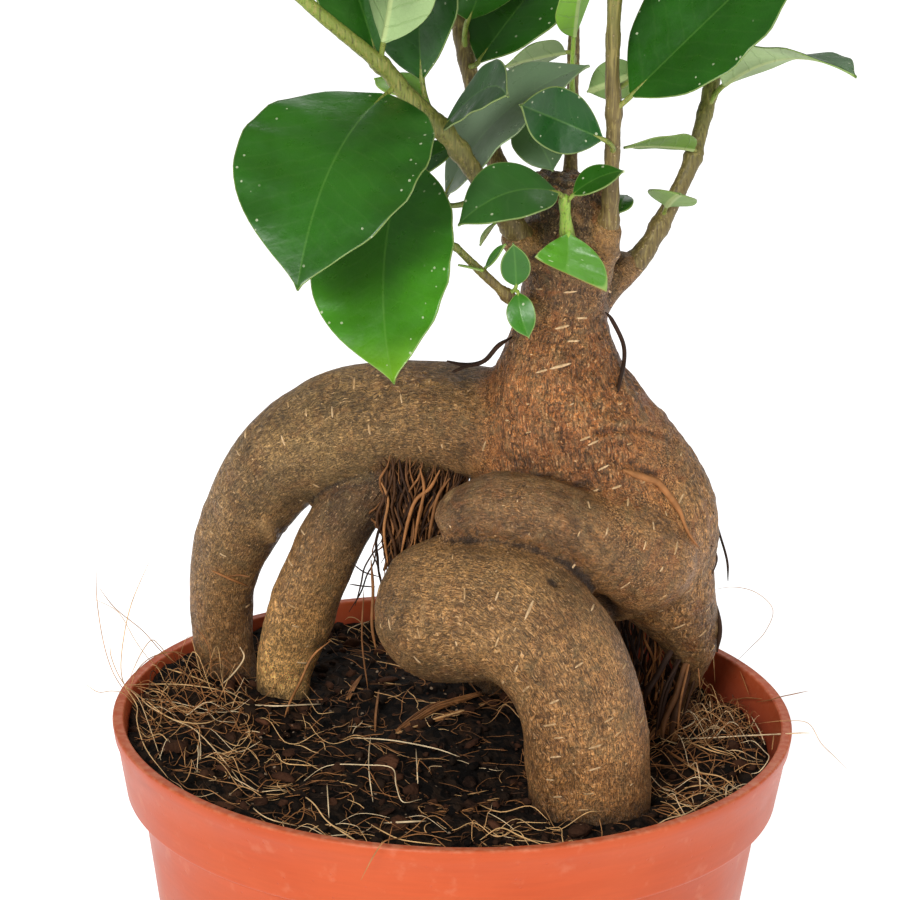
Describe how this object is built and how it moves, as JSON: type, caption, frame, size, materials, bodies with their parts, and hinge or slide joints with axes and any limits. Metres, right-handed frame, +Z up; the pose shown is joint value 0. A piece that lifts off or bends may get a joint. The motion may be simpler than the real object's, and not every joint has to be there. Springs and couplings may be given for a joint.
{
  "type": "potted chinese banyan",
  "caption": "Small banyan with thick folded aerial roots, a short grafted trunk and glossy leaves on slim stems, in a round tapered plastic nursery pot filled with potting mix.",
  "frame": {"origin": "middle of the pot's flat underside", "axes": "+Z up the pot's axis towards the leaves, -Y towards the side that shows the big folded root, +X to the right seen from there"},
  "size_m": [0.1385, 0.1238, 0.3095],
  "materials": {
    "pot_plastic": "terracotta-coloured moulded plastic with a soft sheen",
    "potting_mix": "dark crumbly peat and coir with loose tan fibres",
    "bark": "thin brown root bark with pale cross-wise pores and fine grain",
    "leaf_and_stem": "waxy dark green leaf with a satin gloss on olive-brown stems"
  },
  "bodies": {
    "root": {"pot": "pot_plastic", "soil": "potting_mix", "root_stock": "bark", "stem_left": "leaf_and_stem", "stem_back": "leaf_and_stem", "stem_rear": "leaf_and_stem", "stem_centre": "leaf_and_stem", "stem_right": "leaf_and_stem", "shoot_front": "leaf_and_stem", "twig_left": "leaf_and_stem"}
  },
  "joints": []
}
